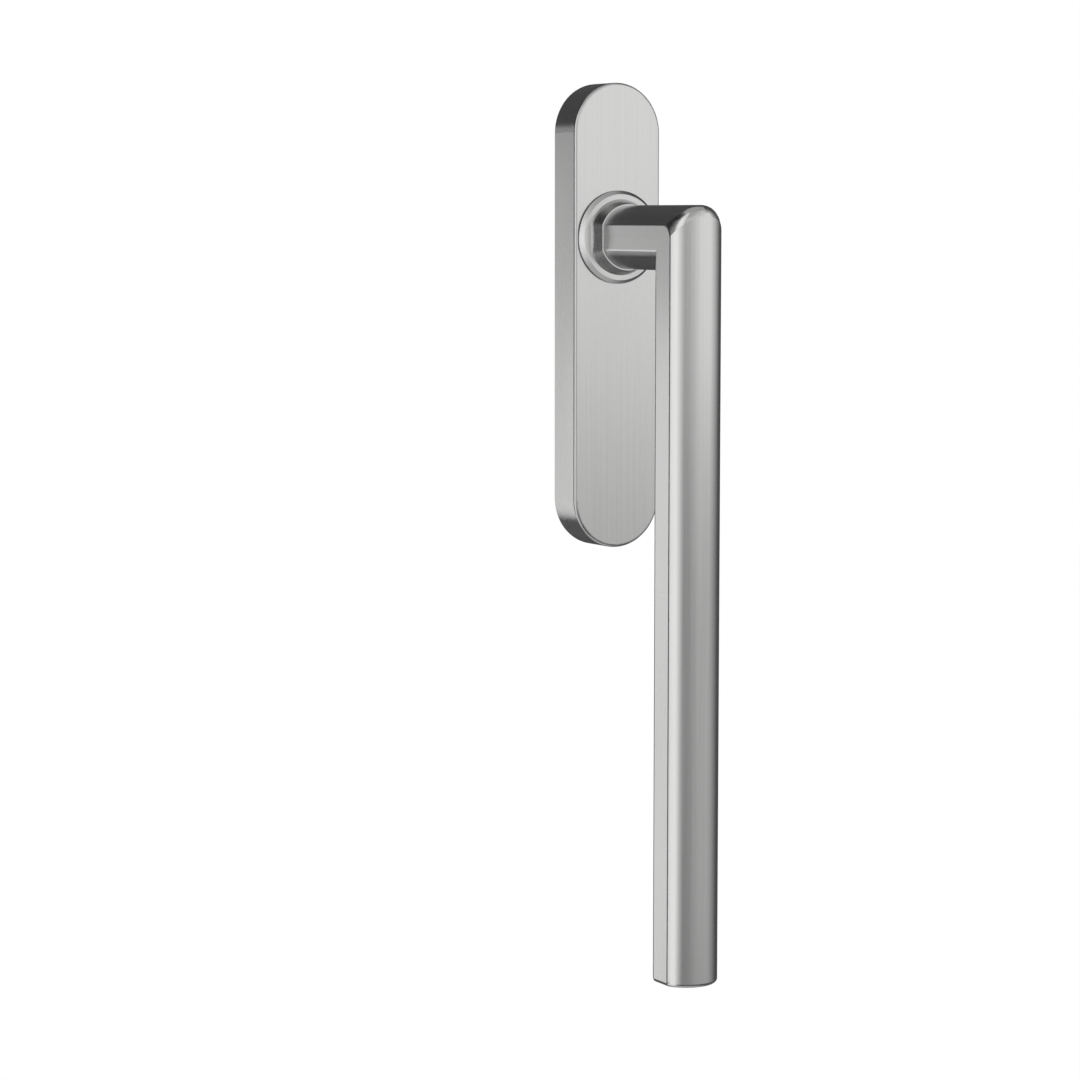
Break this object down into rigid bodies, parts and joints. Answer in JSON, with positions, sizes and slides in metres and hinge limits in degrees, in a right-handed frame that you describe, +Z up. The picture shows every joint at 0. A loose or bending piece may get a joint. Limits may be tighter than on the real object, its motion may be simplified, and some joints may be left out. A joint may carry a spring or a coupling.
{
  "type": "lift and slide door handle",
  "caption": "Lift and slide door handle: mitred lever of flattened round bar on a round collar, turning on a slim oblong backplate with a square spindle behind.",
  "frame": {"origin": "on the spindle axis at the door face, behind the backplate", "axes": "+Y into the door along the spindle, +Z up, +X to the right seen from the room; the lever hangs down"},
  "size_m": [0.036, 0.091, 0.3205],
  "materials": {
    "cover_steel": "satin brushed stainless",
    "lever_steel": "satin brushed stainless",
    "collar_steel": "satin turned stainless",
    "cast_alloy": "as cast, tumbled",
    "acetal": "moulded black acetal",
    "plated_steel": "zinc plated",
    "spring_steel": "oiled spring steel"
  },
  "bodies": {
    "backplate": {"cover_plate": "cover_steel", "base_plate": "cast_alloy", "bearing_bush": "acetal", "fixing_screws": "plated_steel", "cover_clips": "spring_steel"},
    "turning_lever": {"lever": "lever_steel", "grip_end_cap": "lever_steel", "neck_collar": "collar_steel", "hub": "plated_steel", "square_spindle": "plated_steel", "spindle_pin": "plated_steel", "thrust_washer": "acetal", "support_washer": "plated_steel", "disc_spring": "spring_steel", "retaining_ring": "spring_steel"}
  },
  "joints": [
    {"name": "lever_turn", "type": "hinge", "parent": "backplate", "child": "turning_lever", "pos_m": [0, 0, 0], "axis": [0, -1, 0], "range_deg": [0, 180]}
  ]
}
